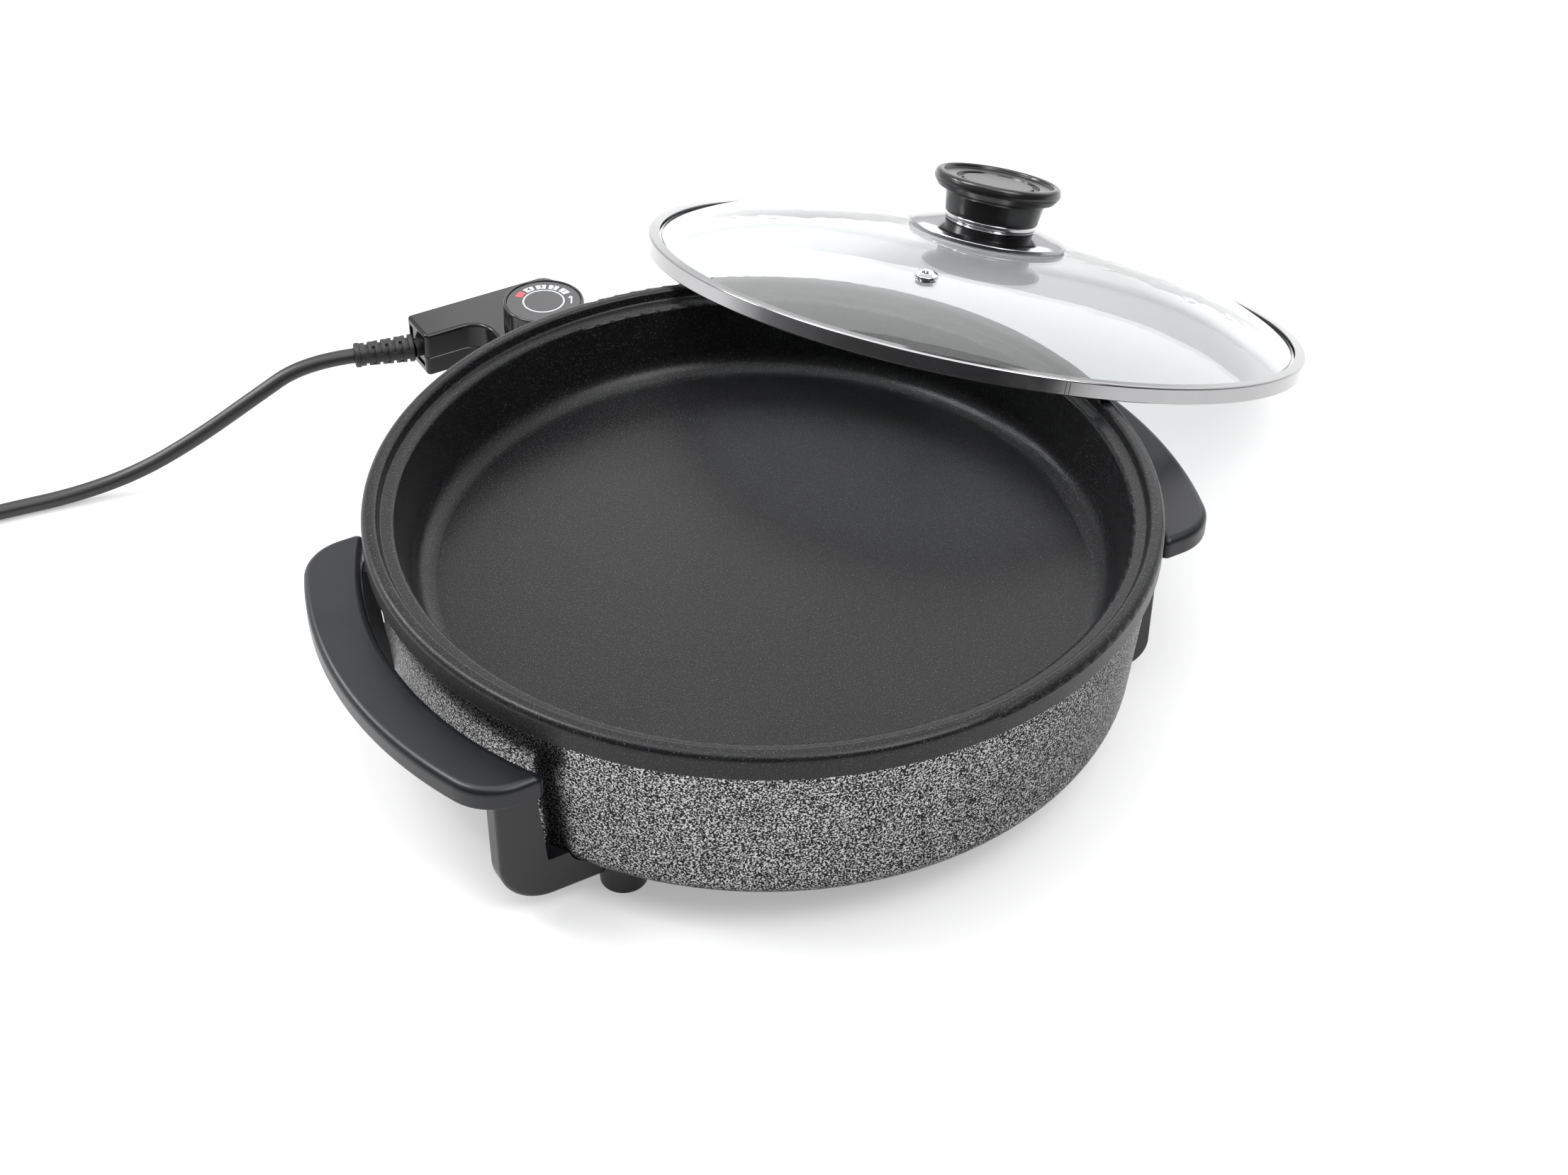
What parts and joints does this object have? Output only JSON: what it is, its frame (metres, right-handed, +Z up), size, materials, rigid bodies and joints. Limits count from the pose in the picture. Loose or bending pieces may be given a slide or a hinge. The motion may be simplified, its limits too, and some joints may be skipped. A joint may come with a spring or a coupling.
{
  "type": "electric pizza pan",
  "caption": "round electric table pan with non-stick dish, grey hammertone base, curved grips on legs, clear dome lid and a plug-in dial thermostat on a cord",
  "frame": {"origin": "on the table under the pan's axis", "axes": "+Z up along the pan's axis, grips on -X and +X, plug-in thermostat on +Y"},
  "size_m": [0.851, 0.5882, 0.1374],
  "materials": {
    "nonstick": "black non-stick coating on cast aluminium, satin with fine sparkle",
    "hammertone": "grey hammertone paint on sheet metal",
    "grip_black": "satin black heat-resistant plastic, fine texture",
    "gloss_black": "glossy black moulded plastic",
    "knob_grey": "grey flat insert",
    "dial_grey": "dark grey printed disc",
    "polished_steel": "polished stainless steel",
    "zinc_steel": "zinc-plated steel fastener",
    "element_steel": "oxidised tubular heater sheath",
    "contact_brass": "brass contacts",
    "clear_glass": "clear tempered glass",
    "silicone": "translucent silicone seal",
    "black_rubber": "black rubber",
    "inner_plastic": "dark phenolic moulding",
    "cord_black": "dark grey flexible cord sheath"
  },
  "bodies": {
    "base": {"pan": "nonstick", "base_shell": "hammertone", "pan_pillars": "zinc_steel", "pan_screws": "zinc_steel", "heating_element": "element_steel", "terminal_pins": "zinc_steel", "probe_sleeve": "zinc_steel", "inlet_shroud": "inner_plastic", "inlet_screws": "zinc_steel", "left_grip": "grip_black", "right_grip": "grip_black", "left_front_leg": "grip_black", "left_rear_leg": "grip_black", "right_front_leg": "grip_black", "right_rear_leg": "grip_black", "foot_pads": "black_rubber", "leg_screws": "zinc_steel", "leg_nuts": "zinc_steel", "grip_screws": "zinc_steel"},
    "lid": {"lid_glass": "clear_glass", "lid_band": "polished_steel", "vent_eyelet": "polished_steel", "lid_gasket": "silicone", "lid_collar": "polished_steel", "knob_ring": "polished_steel", "lid_knob": "gloss_black", "lid_knob_cap": "knob_grey", "lid_inner_gasket": "silicone", "lid_washer": "zinc_steel", "lid_screw": "zinc_steel"},
    "controller": {"controller_upper_shell": "gloss_black", "controller_lower_shell": "gloss_black", "controller_screws": "zinc_steel", "plug_nose": "inner_plastic", "contact_sleeves": "contact_brass", "probe_rod": "zinc_steel", "thermostat_switch": "inner_plastic", "strain_relief": "black_rubber", "cord_tube": "cord_black", "cord_coil": "cord_black", "cord_tie": "black_rubber", "mains_plug": "cord_black", "plug_pins": "zinc_steel"},
    "dial": {"dial_knob": "gloss_black", "dial_plate": "dial_grey", "dial_spindle": "contact_brass"}
  },
  "joints": [
    {"name": "lid_lift", "type": "slide", "parent": "base", "child": "lid", "axis": [0, 0, 1], "range_m": [0, 0.25]},
    {"name": "controller_pull", "type": "slide", "parent": "base", "child": "controller", "axis": [0, 1, 0], "range_m": [0, 0.08]},
    {"name": "dial_turn", "type": "hinge", "parent": "controller", "child": "dial", "pos_m": [0, 0.2263, 0.07], "axis": [0, 0, -1], "range_deg": [0, 270]}
  ]
}
